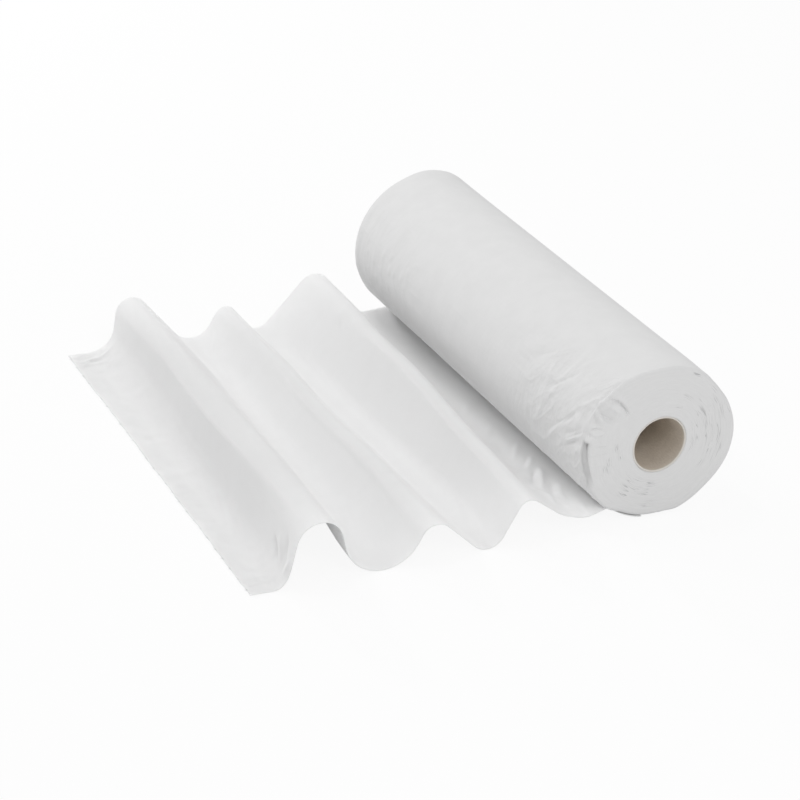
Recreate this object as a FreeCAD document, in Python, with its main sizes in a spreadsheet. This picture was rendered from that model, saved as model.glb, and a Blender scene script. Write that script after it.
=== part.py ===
"""Exam table paper roll: a cardboard core with one web of paper wound on it.

The end of the web is pulled off the roll and lies on the table in three standing folds.
Millimetres, +Z up. The origin is the middle of the flat spot that the roll rests on, the
roll's axis runs along Y, and the loose sheet runs off toward -X. "Near" is the -Y end.
"""
import FreeCAD, Part
import Sketcher

import math
import os
from collections import namedtuple

from FreeCAD import Vector

# ------------------------------------------------------------------ driving sizes
SIZES = {
    "roll_length": 390.0,  # width of the web, and length of the core
    "roll_diameter": 120.0,  # over the wound web
    "flat_spot_width": 22.0,  # the soft roll settles on the table under its own weight
    "rim_round": 2.5,  # the cut edges of the outer turns are worn round
    "core_bore": 41.0,
    "core_wall": 1.5,
    "glue_gap": 0.1,  # glue line between the core and the first turn
    "web_thickness": 0.3,  # two embossed plies, not pressed together
    "lap_length": 5.0,  # how far past the roll's axis the loose end is followed back
    # Where the sheet peels off the roll, in degrees round from the roll's lowest line.
    "peel_angle_near": 37.6,
    "peel_angle_far": 26.7,
    "peel_gap_near": 0.25,
    "peel_gap_far": 0.5,
    "peel_radius": 4.0,
    # The dip between the roll and the third crest: how far on and down it is from the peel.
    "dip_run_near": 14.5,
    "dip_run_far": 21.0,
    "dip_drop_near": 1.0,
    "dip_drop_far": 2.7,
    "dip_radius_near": 30.0,
    "dip_radius_far": 16.0,
    # The crests stand on the table between flat floors. Slopes are in degrees.
    "third_crest_run_near": 47.6,
    "third_crest_run_far": 46.3,
    "third_crest_height_near": 33.2,
    "third_crest_height_far": 41.0,
    "third_crest_radius_near": 6.0,
    "third_crest_radius_far": 18.0,
    "third_crest_tail_slope": 53.0,
    "second_valley_radius": 6.0,
    "second_valley_floor_near": 7.5,
    "second_valley_floor_far": 5.0,
    "second_crest_roll_slope": 46.0,
    "second_crest_height_near": 28.5,
    "second_crest_height_far": 23.3,
    "second_crest_radius": 10.5,
    "second_crest_tail_slope": 56.5,
    "first_valley_radius": 18.0,
    "first_valley_floor_near": 13.0,
    "first_valley_floor_far": 6.0,
    "first_crest_roll_slope": 67.0,
    "first_crest_height_near": 47.0,
    "first_crest_height_far": 43.5,
    "first_crest_radius": 16.0,
    "first_crest_tail_slope": 80.0,
    "foot_radius": 20.0,
    "tail_near": 10.0,  # flat on the table, from the foot of the first crest to the torn end
    "tail_far": 18.0,
}


class Size:
    """A number kept together with the spreadsheet expression that it comes from."""

    def __init__(self, value, text):
        self.value = value
        self.text = text

    def combined(self, sign, other, value):
        text = other.text if isinstance(other, Size) else str(other)
        return Size(value, f"({self.text} {sign} {text})")

    def __add__(self, other):
        return self.combined("+", other, self.value + number(other))

    def __sub__(self, other):
        return self.combined("-", other, self.value - number(other))

    def __mul__(self, other):
        return self.combined("*", other, self.value * number(other))

    def __truediv__(self, other):
        return self.combined("/", other, self.value / number(other))


def number(item):
    return item.value if isinstance(item, Size) else item


def size(name):
    return Size(SIZES[name], f"Sizes.{name}")


def root(item):
    return Size(math.sqrt(item.value), f"sqrt({item.text})")


def sine(angle):
    return Size(math.sin(math.radians(angle.value)), f"sin({angle.text})")


def cosine(angle):
    return Size(math.cos(math.radians(angle.value)), f"cos({angle.text})")


def tangent(angle):
    return Size(math.tan(math.radians(angle.value)), f"tan({angle.text})")


ROLL_RADIUS = size("roll_diameter") / 2
HALF_SPOT = size("flat_spot_width") / 2
AXIS_HEIGHT = root(ROLL_RADIUS * ROLL_RADIUS - HALF_SPOT * HALF_SPOT)
CORE_RADIUS = size("core_bore") / 2 + size("core_wall")
THICKNESS = size("web_thickness")
ZERO = Size(0.0, "0")

# The outermost turn ends in a step of half a web thickness; the sheet laps over it.
WRAP_STEP = THICKNESS / 2

# How far a cutting profile reaches past what it cuts.
CLEARANCE = 1.0


def make_spreadsheet(doc):
    sheet = doc.addObject("Spreadsheet::Sheet", "Sizes")
    for row, (alias, value) in enumerate(SIZES.items(), start=1):
        sheet.set(f"A{row}", alias)
        sheet.set(f"B{row}", str(value))
        sheet.setAlias(f"B{row}", alias)
    doc.recompute()


# ------------------------------------------------------------------ sketch helpers
ORIGIN = (-1, 1)
X_AXIS = -1
Z_AXIS = -2
START, END, CENTRE = 1, 2, 3


def new_body(doc, name):
    body = doc.addObject("PartDesign::Body", name)
    body.Label = name
    return body


def origin_plane(body, role):
    return next(feature for feature in body.Origin.OriginFeatures if feature.Role == role)


def plane_sketch(body, name, role):
    sketch = body.newObject("Sketcher::SketchObject", name)
    sketch.AttachmentSupport = (origin_plane(body, role), [""])
    sketch.MapMode = "FlatFace"
    return sketch


def side_sketch(body, name):
    """A sketch on the body's XZ plane. The plane's normal points toward -Y."""
    return plane_sketch(body, name, "XZ_Plane")


def add(sketch, *constraint):
    return sketch.addConstraint(Sketcher.Constraint(*constraint))


def add_size(sketch, label, amount, *constraint):
    """Add a dimension under a name and tie it to the spreadsheet."""
    sketch.renameConstraint(add(sketch, *constraint, amount.value), label)
    sketch.setExpression(f"Constraints.{label}", amount.text)


def line(sketch, first, last):
    return sketch.addGeometry(Part.LineSegment(Vector(*first, 0), Vector(*last, 0)))


def circle(sketch, height, radius):
    return sketch.addGeometry(Part.Circle(Vector(0, height, 0), Vector(0, 0, 1), radius))


def arc(sketch, centre, radius, start_angle, end_angle):
    whole = Part.Circle(Vector(*centre, 0), Vector(0, 0, 1), radius)
    return sketch.addGeometry(Part.ArcOfCircle(whole, start_angle, end_angle))


def pad_both_ways(doc, body, sketch, name, length):
    pad = body.newObject("PartDesign::Pad", name)
    pad.Profile = sketch
    pad.SideType = "Symmetric"
    pad.setExpression("Length", length.text)
    doc.recompute()
    return pad


# ------------------------------------------------------------------ the core
def make_core(doc):
    """Cardboard tube, cut flush with the web at both ends."""
    body = new_body(doc, "core")
    sketch = side_sketch(body, "core_section")
    bore_radius = size("core_bore") / 2
    wall = circle(sketch, AXIS_HEIGHT.value, CORE_RADIUS.value)
    bore = circle(sketch, AXIS_HEIGHT.value, bore_radius.value)
    add(sketch, "PointOnObject", wall, CENTRE, Z_AXIS)
    add(sketch, "Coincident", bore, CENTRE, wall, CENTRE)
    add_size(sketch, "axis_height", AXIS_HEIGHT, "DistanceY", *ORIGIN, wall, CENTRE)
    add_size(sketch, "outer_radius", CORE_RADIUS, "Radius", wall)
    add_size(sketch, "bore_radius", bore_radius, "Radius", bore)
    pad_both_ways(doc, body, sketch, "core_tube", size("roll_length"))
    return body


# ------------------------------------------------------------------ the wound turns
def winding_section(body):
    """Outline of the wound turns: a spiral drawn as two half turns, with the flat spot.

    The half turn on the sheet's side is smaller by half the step and shares the top point,
    so the outline comes back one step further in than it started.
    """
    sketch = side_sketch(body, "winding_section")
    inner_radius = ROLL_RADIUS - WRAP_STEP / 2
    bore_radius = CORE_RADIUS + size("glue_gap")
    radius = ROLL_RADIUS.value
    height = AXIS_HEIGHT.value
    inner_height = height + radius - inner_radius.value
    foot_angle = math.asin(height / radius)
    inner_foot_angle = math.asin(inner_height / inner_radius.value)

    outer_half = arc(sketch, (0, height), radius, -foot_angle, math.pi / 2)
    inner_half = arc(
        sketch, (0, inner_height), inner_radius.value, math.pi / 2, math.pi + inner_foot_angle
    )
    left = (-inner_radius.value * math.cos(inner_foot_angle), 0)
    right = (radius * math.cos(foot_angle), 0)
    flat_spot = line(sketch, left, right)
    bore = circle(sketch, height, bore_radius.value)

    add(sketch, "PointOnObject", outer_half, CENTRE, Z_AXIS)
    add(sketch, "PointOnObject", inner_half, CENTRE, Z_AXIS)
    add(sketch, "PointOnObject", outer_half, END, Z_AXIS)
    add(sketch, "PointOnObject", outer_half, START, X_AXIS)
    add(sketch, "PointOnObject", inner_half, END, X_AXIS)
    add(sketch, "Coincident", outer_half, END, inner_half, START)
    add(sketch, "Coincident", flat_spot, START, inner_half, END)
    add(sketch, "Coincident", flat_spot, END, outer_half, START)
    add(sketch, "Coincident", bore, CENTRE, outer_half, CENTRE)
    add_size(sketch, "axis_height", AXIS_HEIGHT, "DistanceY", *ORIGIN, outer_half, CENTRE)
    add_size(sketch, "outer_radius", ROLL_RADIUS, "Radius", outer_half)
    add_size(sketch, "inner_radius", inner_radius, "Radius", inner_half)
    add_size(sketch, "bore_radius", bore_radius, "Radius", bore)
    return sketch


# ------------------------------------------------------------------ the loose sheet
# The sheet is a chain of round bends joined by straight flanks. A bend's radius is that of
# its outer surface; its centre is `run` beyond the last bend's centre and `rise` above the
# table. `x` is where that puts it.
CREST = 1
VALLEY = -1
Bend = namedtuple("Bend", "name kind run rise radius x")


def flank_run(crest_height, slope, radii):
    """How far apart two bends' centres are when a flank of this slope joins them."""
    return crest_height / tangent(slope) + radii * tangent(slope / 2)


def bends_at(edge):
    """The roll itself and then every bend of the sheet at one edge, roll first."""
    bends = [Bend("roll", VALLEY, ZERO, AXIS_HEIGHT, ROLL_RADIUS, 0.0)]

    def follow(name, kind, run, rise, radius):
        bends.append(Bend(name, kind, run, rise, radius, bends[-1].x - run.value))

    def rise_from(crest, slope, valley_radius, height, radius):
        run = flank_run(height, size(slope), valley_radius + radius)
        follow(crest, CREST, run, height - radius, radius)

    def fall_to(valley, height, slope, radius):
        run = flank_run(height, size(slope), bends[-1].radius + radius)
        follow(valley, VALLEY, run, radius, radius)

    peel_radius = size("peel_radius")
    peel_angle = size(f"peel_angle_{edge}")
    reach = ROLL_RADIUS + peel_radius + size(f"peel_gap_{edge}")
    peel_rise = AXIS_HEIGHT - reach * cosine(peel_angle)
    follow("peel", CREST, reach * sine(peel_angle), peel_rise, peel_radius)

    dip_radius = size(f"dip_radius_{edge}")
    dip_rise = peel_rise + peel_radius - size(f"dip_drop_{edge}") + dip_radius
    follow("dip", VALLEY, size(f"dip_run_{edge}"), dip_rise, dip_radius)

    height = size(f"third_crest_height_{edge}")
    radius = size(f"third_crest_radius_{edge}")
    follow("third_crest", CREST, size(f"third_crest_run_{edge}"), height - radius, radius)

    for valley, last_crest, crest in (
        ("second_valley", "third_crest", "second_crest"),
        ("first_valley", "second_crest", "first_crest"),
    ):
        valley_radius = size(f"{valley}_radius")
        fall_to(f"{valley}_start", height, f"{last_crest}_tail_slope", valley_radius)
        floor = size(f"{valley}_floor_{edge}")
        follow(f"{valley}_end", VALLEY, floor, valley_radius, valley_radius)
        height = size(f"{crest}_height_{edge}")
        rise_from(crest, f"{crest}_roll_slope", valley_radius, height, size(f"{crest}_radius"))

    fall_to("foot", height, "first_crest_tail_slope", size("foot_radius"))
    return bends


def surface_radius(bend, side):
    """A bend's radius on one side of the web: CREST is its upper side, VALLEY its lower."""
    return bend.radius if bend.kind == side else bend.radius - THICKNESS


def flank(first, last, side):
    """End points of the straight piece between two bends, on one side of the web."""
    reach = Vector(last.x - first.x, last.rise.value - first.rise.value, 0)
    first_offset = first.kind * surface_radius(first, side).value
    last_offset = last.kind * surface_radius(last, side).value
    angle = math.atan2(reach.y, reach.x) + math.asin((first_offset - last_offset) / reach.Length)
    normal = Vector(-math.sin(angle), math.cos(angle), 0)
    leave = Vector(first.x, first.rise.value, 0) - normal * first_offset
    arrive = Vector(last.x, last.rise.value, 0) - normal * last_offset
    return leave, arrive


def web_surface(sketch, bends, side, tail_end):
    """Draw and constrain one side of the web, from under the roll to its torn end."""
    label = "upper" if side == CREST else "lower"
    level = THICKNESS.value if side == CREST else 0.0
    flanks = [flank(a, b, side) for a, b in zip(bends, bends[1:])]

    roll = bends[0]
    roll_radius = surface_radius(roll, side).value
    lift_off = -math.sqrt(roll_radius**2 - (roll.rise.value - level) ** 2)
    entries = [Vector(lift_off, level, 0)] + [arrive for _, arrive in flanks]
    exits = [leave for leave, _ in flanks] + [Vector(bends[-1].x, level, 0)]

    flat = line(sketch, (SIZES["lap_length"], level), (lift_off, level))
    arcs = []
    for bend, entry, leave in zip(bends, entries, exits):
        ends = (entry, leave) if bend.kind == CREST else (leave, entry)
        angles = [math.atan2(end.y - bend.rise.value, end.x - bend.x) for end in ends]
        centre = (bend.x, bend.rise.value)
        arcs.append(arc(sketch, centre, surface_radius(bend, side).value, *angles))
    lines = [line(sketch, (a.x, a.y), (b.x, b.y)) for a, b in flanks]
    lines.append(line(sketch, (bends[-1].x, level), (tail_end, level)))

    # A crest's arc is drawn in the sheet's own direction, a valley's against it.
    first_end = [START if bend.kind == CREST else END for bend in bends]
    last_end = [END if bend.kind == CREST else START for bend in bends]
    add(sketch, "Coincident", flat, END, arcs[0], first_end[0])
    for index, straight in enumerate(lines):
        add(sketch, "Tangent", arcs[index], last_end[index], straight, START)
        if index + 1 < len(arcs):
            add(sketch, "Tangent", straight, END, arcs[index + 1], first_end[index + 1])
    add(sketch, "Horizontal", flat)
    add(sketch, "Horizontal", lines[-1])
    for bend, bend_arc in zip(bends, arcs):
        add_size(sketch, f"{bend.name}_{label}", surface_radius(bend, side), "Radius", bend_arc)
    return flat, arcs, lines[-1]


def sheet_section(body, edge, offset):
    """Closed section of the loose sheet at one edge of the web."""
    sketch = side_sketch(body, f"sheet_{edge}_section")
    sketch.setExpression("AttachmentOffset.Base.z", offset)
    bends = bends_at(edge)
    tail = size(f"tail_{edge}")
    tail_end = bends[-1].x - tail.value
    lower_flat, lower_arcs, lower_tail = web_surface(sketch, bends, VALLEY, tail_end)
    upper_flat, upper_arcs, upper_tail = web_surface(sketch, bends, CREST, tail_end)

    lap = size("lap_length")
    lap_end = line(sketch, (lap.value, 0), (lap.value, THICKNESS.value))
    torn_end = line(sketch, (tail_end, 0), (tail_end, THICKNESS.value))
    for cap, lower, upper, end in (
        (lap_end, lower_flat, upper_flat, START),
        (torn_end, lower_tail, upper_tail, END),
    ):
        add(sketch, "Coincident", cap, START, lower, end)
        add(sketch, "Coincident", cap, END, upper, end)
        add(sketch, "Vertical", cap)
    add(sketch, "PointOnObject", lower_flat, START, X_AXIS)
    add(sketch, "PointOnObject", lower_tail, END, X_AXIS)
    add_size(sketch, "thickness", THICKNESS, "DistanceY", lap_end, START, lap_end, END)
    add_size(sketch, "lap", lap, "DistanceX", *ORIGIN, lap_end, START)
    add_size(sketch, "tail", tail, "DistanceX", torn_end, START, lower_arcs[-1], CENTRE)

    for bend, lower, upper in zip(bends, lower_arcs, upper_arcs):
        add(sketch, "Coincident", lower, CENTRE, upper, CENTRE)
        # The last bend's height follows from the straight tail, which lies on the table.
        if bend is not bends[-1]:
            add_size(sketch, f"{bend.name}_rise", bend.rise, "DistanceY", *ORIGIN, lower, CENTRE)
    add(sketch, "PointOnObject", lower_arcs[0], CENTRE, Z_AXIS)
    for bend, this_arc, last_arc in zip(bends[1:], lower_arcs[1:], lower_arcs):
        ends = (this_arc, CENTRE, last_arc, CENTRE)
        add_size(sketch, f"{bend.name}_run", bend.run, "DistanceX", *ends)
    return sketch


def rim_section(body):
    """What the worn rim lacks of a sharp one, in the plane through the roll's axis."""
    sketch = plane_sketch(body, "rim_section", "YZ_Plane")
    sketch.setExpression("AttachmentOffset.Base.y", AXIS_HEIGHT.text)
    end = size("roll_length") / 2
    rounding = size("rim_round")
    y = end.value
    radius = ROLL_RADIUS.value
    past_y = y + CLEARANCE
    past_radius = radius + CLEARANCE
    inner_y = y - rounding.value
    inner_radius = radius - rounding.value

    rim = arc(sketch, (inner_y, inner_radius), rounding.value, 0, math.pi / 2)
    out = line(sketch, (inner_y, radius), (inner_y, past_radius))
    along = line(sketch, (inner_y, past_radius), (past_y, past_radius))
    back = line(sketch, (past_y, past_radius), (past_y, inner_radius))
    close = line(sketch, (past_y, inner_radius), (y, inner_radius))
    add(sketch, "Coincident", rim, END, out, START)
    add(sketch, "Coincident", close, END, rim, START)
    for first, second in ((out, along), (along, back), (back, close)):
        add(sketch, "Coincident", first, END, second, START)
    for upright in (out, back):
        add(sketch, "Vertical", upright)
    for level in (along, close):
        add(sketch, "Horizontal", level)
    add(sketch, "Horizontal", rim, CENTRE, rim, START)
    add(sketch, "Vertical", rim, CENTRE, rim, END)
    past = Size(CLEARANCE, str(CLEARANCE))
    add_size(sketch, "rounding", rounding, "Radius", rim)
    add_size(sketch, "end", end, "DistanceX", *ORIGIN, rim, START)
    add_size(sketch, "outer_radius", ROLL_RADIUS, "DistanceY", *ORIGIN, rim, END)
    add_size(sketch, "past_end", past, "DistanceX", close, END, close, START)
    add_size(sketch, "past_radius", past, "DistanceY", out, START, out, END)
    return sketch


def round_rims(doc, body):
    """Turn the outer edge of both end faces round."""
    sketch = rim_section(body)
    groove = body.newObject("PartDesign::Groove", "rounded_rim")
    groove.Profile = sketch
    groove.ReferenceAxis = (sketch, ["H_Axis"])
    groove.Angle = 360
    doc.recompute()
    both = body.newObject("PartDesign::Mirrored", "both_rims")
    both.Originals = [groove]
    both.MirrorPlane = (origin_plane(body, "XZ_Plane"), [""])
    body.Tip = both
    doc.recompute()


def make_paper_web(doc):
    """The whole web: the wound turns and the sheet that peels off them, one solid."""
    body = new_body(doc, "paper_web")
    pad_both_ways(doc, body, winding_section(body), "wound_turns", size("roll_length"))
    round_rims(doc, body)
    near = sheet_section(body, "near", "Sizes.roll_length / 2")
    far = sheet_section(body, "far", "-Sizes.roll_length / 2")
    doc.recompute()
    sheet = body.newObject("PartDesign::AdditiveLoft", "loose_sheet")
    sheet.Profile = near
    sheet.Sections = [far]
    sheet.Ruled = True
    doc.recompute()
    return body


# ------------------------------------------------------------------ build and write
def check(doc, bodies):
    for item in doc.Objects:
        if "Invalid" in item.State or "Error" in item.State:
            raise RuntimeError(f"{item.Label} failed: {item.State}")
    for body in bodies:
        shape = body.Shape
        if shape.isNull() or not shape.isValid() or len(shape.Solids) != 1:
            raise RuntimeError(f"{body.Label} isn't one valid solid")
        print(f"{body.Label}: {len(shape.Faces)} faces, {shape.Volume / 1000:.1f} cm3")


def main():
    doc = FreeCAD.newDocument("exam_table_paper_roll")
    make_spreadsheet(doc)
    bodies = [make_core(doc), make_paper_web(doc)]
    doc.recompute()
    check(doc, bodies)
    os.makedirs("parts", exist_ok=True)
    for body in bodies:
        body.Shape.exportStep(f"parts/{body.Label}.step")


main()
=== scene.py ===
# %% [markdown]
# # An exam table paper roll
# A couch roll is one long web of soft white paper on a cardboard tube. Here it lies on its
# side, and the end of the web has been pulled off it and let go, so that it stands in three
# loose folds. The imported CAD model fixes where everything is. These cells build how the
# paper, its cut edges and the board look.

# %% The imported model
import math

import bpy
import numpy as np
from mathutils import Matrix, Vector


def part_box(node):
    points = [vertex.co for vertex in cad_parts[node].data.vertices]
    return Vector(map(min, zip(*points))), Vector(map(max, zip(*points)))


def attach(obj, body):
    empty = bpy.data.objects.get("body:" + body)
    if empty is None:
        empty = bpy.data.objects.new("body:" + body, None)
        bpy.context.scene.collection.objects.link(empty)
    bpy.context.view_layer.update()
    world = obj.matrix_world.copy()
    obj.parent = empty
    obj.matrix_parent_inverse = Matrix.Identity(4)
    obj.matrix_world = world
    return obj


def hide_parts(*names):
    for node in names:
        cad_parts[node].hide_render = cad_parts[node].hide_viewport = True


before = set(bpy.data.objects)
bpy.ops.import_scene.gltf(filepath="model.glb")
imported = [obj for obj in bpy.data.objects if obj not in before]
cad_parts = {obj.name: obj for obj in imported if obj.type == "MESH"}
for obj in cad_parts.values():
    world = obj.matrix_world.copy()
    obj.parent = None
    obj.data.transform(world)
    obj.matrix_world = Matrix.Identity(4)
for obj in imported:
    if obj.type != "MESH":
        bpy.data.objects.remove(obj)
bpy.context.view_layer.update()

MM = 0.001
core_low, core_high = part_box("core")
web_low, web_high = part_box("paper_web")
ROLL_LENGTH = (core_high.y - core_low.y) / MM
AXIS_HEIGHT = (core_high.z + core_low.z) / 2 / MM
ROLL_RADIUS = web_high.x / MM
CORE_RADIUS = (core_high.z - core_low.z) / 2 / MM
NEAR, FAR = -ROLL_LENGTH / 2, ROLL_LENGTH / 2
print(f"roll {ROLL_LENGTH:.1f} long, radius {ROLL_RADIUS:.2f}, axis at {AXIS_HEIGHT:.2f}")
print(f"core radius {CORE_RADIUS:.2f}, sheet out to x {web_low.x / MM:.1f}")

# %% [markdown]
# ## Camera
# The roll is seen from above its near end with a long lens, so parallel edges hardly
# converge. The camera is turned by a yaw, a pitch and a small roll of its own.

# %% Camera
def camera_turn(yaw, pitch, roll):
    """A camera's rotation. Yaw 0 looks along +Y, and pitch is how far down it looks."""
    yaw, pitch, roll = (math.radians(a) for a in (yaw, pitch, roll))
    ahead = Vector((math.sin(yaw) * math.cos(pitch), math.cos(yaw) * math.cos(pitch), -math.sin(pitch)))
    level = ahead.cross(Vector((0, 0, 1))).normalized()
    over = level.cross(ahead)
    right = level * math.cos(roll) + over * math.sin(roll)
    up = over * math.cos(roll) - level * math.sin(roll)
    return Matrix((right, up, -ahead)).transposed()


camera = bpy.data.objects.new("camera", bpy.data.cameras.new("camera"))
bpy.context.scene.collection.objects.link(camera)
camera.matrix_world = Matrix.Translation((-0.892, -1.535, 0.883)) @ camera_turn(27.02, 26.59, 3.26).to_4x4()
camera.data.sensor_width = 36
camera.data.lens = 114
camera.data.clip_end = 20
bpy.context.scene.camera = camera
print("camera", [round(c, 3) for c in camera.location])

# %% [markdown]
# ## Tools for paper shapes
# Soft paper is never quite flat. Three small tools make its unevenness: smooth noise for
# broad cockling, ridged noise for crumples, and single creases that are drawn one by one.
# All lengths are millimetres until a mesh is made.

# %% Noise
def smooth_noise(x, y, seed):
    """Noise from -1 to 1 with one bump a unit, the same on every run."""
    table = np.random.default_rng(seed).uniform(-1, 1, (64, 64))
    x0, y0 = np.floor(x).astype(int), np.floor(y).astype(int)
    fx, fy = x - x0, y - y0
    wx = fx**3 * (fx * (6 * fx - 15) + 10)
    wy = fy**3 * (fy * (6 * fy - 15) + 10)
    corner = lambda i, j: table[(x0 + i) % 64, (y0 + j) % 64]
    low = corner(0, 0) * (1 - wx) + corner(1, 0) * wx
    high = corner(0, 1) * (1 - wx) + corner(1, 1) * wx
    return low * (1 - wy) + high * wy


def cockle(x, y, size, seed, octaves=3):
    """Broad soft bumps of about this size, with finer ones on them."""
    total = 0
    for octave in range(octaves):
        scale = 2**octave
        total = total + smooth_noise(x * scale / size + 5.3 * octave, y * scale / size, seed + octave) / scale
    return total / 1.5


def crumple(x, y, size, seed):
    """Sharp-edged facets, as in paper that was squeezed and let go. Centred near 0."""
    total = 0
    for octave in range(3):
        scale = 1.9**octave
        ridge = 1 - np.abs(smooth_noise(x * scale / size + 3.1 * octave, y * scale / size, seed + octave))
        total = total + (ridge**2 - 0.5) / scale**1.3
    return total


def ease(value, start, end):
    """0 before start, 1 after end and smooth between. start may be the larger."""
    t = np.clip((value - start) / (end - start), 0, 1)
    return t * t * (3 - 2 * t)


def crease(x, y, path, height, width):
    """A pinched ridge along a path that dies away at both ends. A negative height is a groove."""
    path = np.array(path, float)
    steps = np.hypot(*np.diff(path, axis=0).T)
    total, travelled = steps.sum(), 0.0
    nearest, share = np.full(np.shape(x), 1e9), np.zeros(np.shape(x))
    for (x0, y0), (x1, y1), step in zip(path, path[1:], steps):
        inside = np.clip(((x - x0) * (x1 - x0) + (y - y0) * (y1 - y0)) / step**2, 0, 1)
        off = np.hypot(x - x0 - inside * (x1 - x0), y - y0 - inside * (y1 - y0))
        share = np.where(off < nearest, (travelled + inside * step) / total, share)
        nearest = np.minimum(off, nearest)
        travelled += step
    bow = np.sin(math.pi * (share * 0.9 + 0.05)) ** 0.7
    return height * bow * np.exp(-((nearest / width) ** 1.3))


# %% [markdown]
# ## From points to a mesh
# The roll and the sheet are both grids of points. Making the faces from the grid keeps every
# row in order, and gives a UV map in metres along and across the web for the paper's grain.

# %% Grid meshes
def new_piece(name, points, faces):
    mesh = bpy.data.meshes.new(name)
    mesh.from_pydata((points * MM).tolist(), [], faces)
    mesh.polygons.foreach_set("use_smooth", [True] * len(mesh.polygons))
    piece = bpy.data.objects.new(name, mesh)
    bpy.context.scene.collection.objects.link(piece)
    return piece


def set_uv(piece, along, across, once_round=None):
    """One UV in metres a vertex. once_round is the girth of a piece that closes on itself."""
    layer = piece.data.uv_layers.new(name="web")
    corners = np.empty(len(piece.data.loops), int)
    piece.data.loops.foreach_get("vertex_index", corners)
    uv = np.stack([along.ravel()[corners], across.ravel()[corners]], 1)
    if once_round:
        quads = uv[:, 0].reshape(-1, 4)
        torn = np.ptp(quads, axis=1, keepdims=True) > once_round / 2
        quads += once_round * (torn & (quads < once_round / 2))
        uv[:, 0] = quads.ravel()
    layer.data.foreach_set("uv", (uv * MM).ravel().astype(np.float32))


def grid_faces(rows, columns, first=0, flip=False, round_columns=False, round_rows=False):
    """Quads over a grid stored row by row, which may close on itself either way."""
    row, column = np.meshgrid(
        np.arange(rows if round_rows else rows - 1),
        np.arange(columns if round_columns else columns - 1),
        indexing="ij",
    )
    beside, below = (column + 1) % columns, (row + 1) % rows
    this_row, next_row = row * columns, below * columns
    corners = (this_row + column, this_row + beside, next_row + beside, next_row + column)
    quads = np.stack(corners, -1).reshape(-1, 4)
    return ((quads[:, ::-1] if flip else quads) + first).tolist()


# %% [markdown]
# ## The loose sheet's folds
# Paper bends more easily than it stretches, so a section through its folds is a chain of
# round bends joined by nearly straight flanks. One chain is laid out for each edge of the
# web and one halfway. Each bend has a place (its distance from the roll's axis), a height, a
# radius and the width of any flat in its middle. Where two bends turn opposite ways, the
# flank between them touches both circles.

# %% Bends
CREST, VALLEY = 1, -1
BENDS = {
    "near": (
        (CREST, 39.5, 12.2, 4.5, 0),
        (VALLEY, 54.0, 11.2, 45.0, 0),
        (CREST, 102.0, 33.5, 8.5, 0),
        (VALLEY, 133.5, 0.2, 14.0, 0),
        (CREST, 174.0, 28.3, 12.0, 0),
        (VALLEY, 214.0, 0.2, 30.0, 0),
        (CREST, 262.5, 46.8, 17.0, 0),
        (VALLEY, 297.0, 0.2, 13.0, 0),
    ),
    "middle": (
        (CREST, 26.0, 4.0, 4.0, 0),
        (VALLEY, 58.0, 0.6, 20.0, 0),
        (CREST, 96.5, 38.0, 11.0, 0),
        (VALLEY, 138.0, 0.2, 12.0, 10),
        (CREST, 173.0, 26.0, 10.0, 0),
        (VALLEY, 208.0, 0.2, 16.0, 0),
        (CREST, 257.0, 45.5, 14.0, 0),
        (VALLEY, 291.0, 0.2, 18.0, 0),
    ),
    "far": (
        (CREST, 22.0, 2.2, 4.0, 0),
        (VALLEY, 56.0, 0.2, 16.0, 0),
        (CREST, 95.5, 41.8, 15.0, 0),
        (VALLEY, 148.0, 0.2, 16.0, 0),
        (CREST, 173.5, 24.3, 9.5, 0),
        (VALLEY, 203.0, 0.2, 18.0, 0),
        (CREST, 254.5, 44.3, 13.0, 0),
        (VALLEY, 289.0, 0.2, 20.0, 0),
    ),
}
TAIL = {"near": 313.0, "middle": 310.2, "far": 307.5}
LAP = -9.0
WEB = 0.3
HALF_FLAT = 11
ARC_POINTS = 60


def circles(edge):
    """(centre, radius, kind, number) of the roll and of every bend. A flat bend has two circles."""
    rows = [(np.array([0.0, AXIS_HEIGHT]), ROLL_RADIUS - WEB / 2, VALLEY, 0)]
    for number, (kind, place, height, radius, flat) in enumerate(BENDS[edge], 1):
        for shift in np.unique([-flat / 2, flat / 2]):
            rows.append((np.array([-place - shift, height - kind * radius]), radius, kind, number))
    return rows


def flank_angle(first, last):
    """Direction of the straight flank that touches two circles."""
    (a, a_radius, a_kind, _), (b, b_radius, b_kind, _) = first, last
    reach = b - a
    turn = math.asin((b_kind * b_radius - a_kind * a_radius) / np.hypot(*reach))
    return (math.atan2(reach[1], reach[0]) - turn) % (2 * math.pi)


def section(edge):
    """Points along the sheet at one edge, and the distance along it to the middle of each bend."""
    chain = circles(edge)
    angles = [math.pi - math.asin(HALF_FLAT / ROLL_RADIUS)]
    angles += [flank_angle(a, b) for a, b in zip(chain, chain[1:])] + [math.pi]
    points, middles = [np.array([[LAP, WEB / 2]])], []
    for (centre, radius, kind, _), start, end in zip(chain, angles, angles[1:]):
        turn = np.linspace(start, end, ARC_POINTS)
        normal = np.stack([-np.sin(turn), np.cos(turn)], 1)
        points.append(centre - kind * radius * normal)
        middles.append(ARC_POINTS * len(middles) + ARC_POINTS // 2 + 1)
    points.append(np.array([[-TAIL[edge], WEB / 2]]))
    points = np.vstack(points)
    along = np.concatenate([[0], np.cumsum(np.hypot(*np.diff(points, axis=0).T))])
    numbers = np.array([number for *_, number in chain])
    marks = [along[middles][numbers == number].mean() for number in range(numbers[-1] + 1)]
    return points, along, np.array([0, *marks, along[-1]])


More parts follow.
